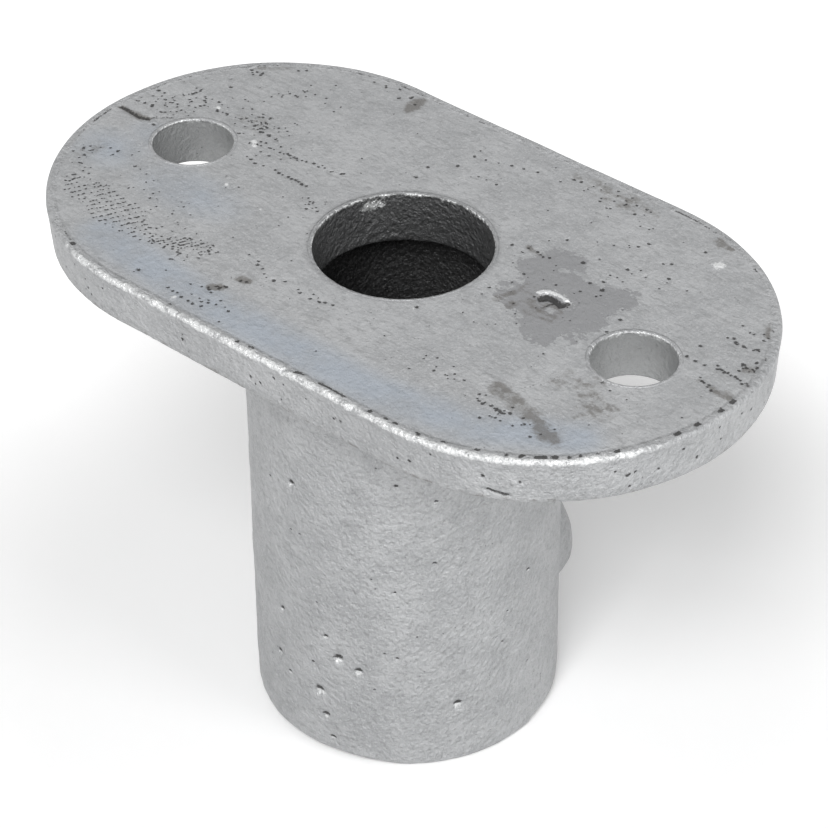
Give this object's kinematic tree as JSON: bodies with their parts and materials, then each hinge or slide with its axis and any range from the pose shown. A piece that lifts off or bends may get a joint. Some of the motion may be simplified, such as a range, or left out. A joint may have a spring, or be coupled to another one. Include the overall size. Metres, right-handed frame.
{
  "type": "tube clamp base flange",
  "caption": "Obround base flange with a drain hole and bolt holes, cast in one with a tall tube socket that clamps a rail post with set screws.",
  "frame": {"origin": "centre of the socket's open mouth, on the tube axis", "axes": "+Z from the mouth to the ground face of the flange, so the part is turned over from the way it is bolted down; +X along the flange; the set screws are on the +Y side"},
  "size_m": [0.151, 0.0856, 0.103],
  "materials": {
    "galvanised_casting": "hot-dip galvanised, satin",
    "plated_screw": "zinc plated"
  },
  "bodies": {
    "fitting": {"base_casting": "galvanised_casting"},
    "lower_screw": {"lower_set_screw": "plated_screw"},
    "upper_screw": {"upper_set_screw": "plated_screw"}
  },
  "joints": [
    {"name": "lower_screw_travel", "type": "slide", "parent": "fitting", "child": "lower_screw", "axis": [0, -1, 0], "range_m": [-0.008, 0.0022]},
    {"name": "upper_screw_travel", "type": "slide", "parent": "fitting", "child": "upper_screw", "axis": [0, -1, 0], "range_m": [-0.008, 0.0022]}
  ]
}
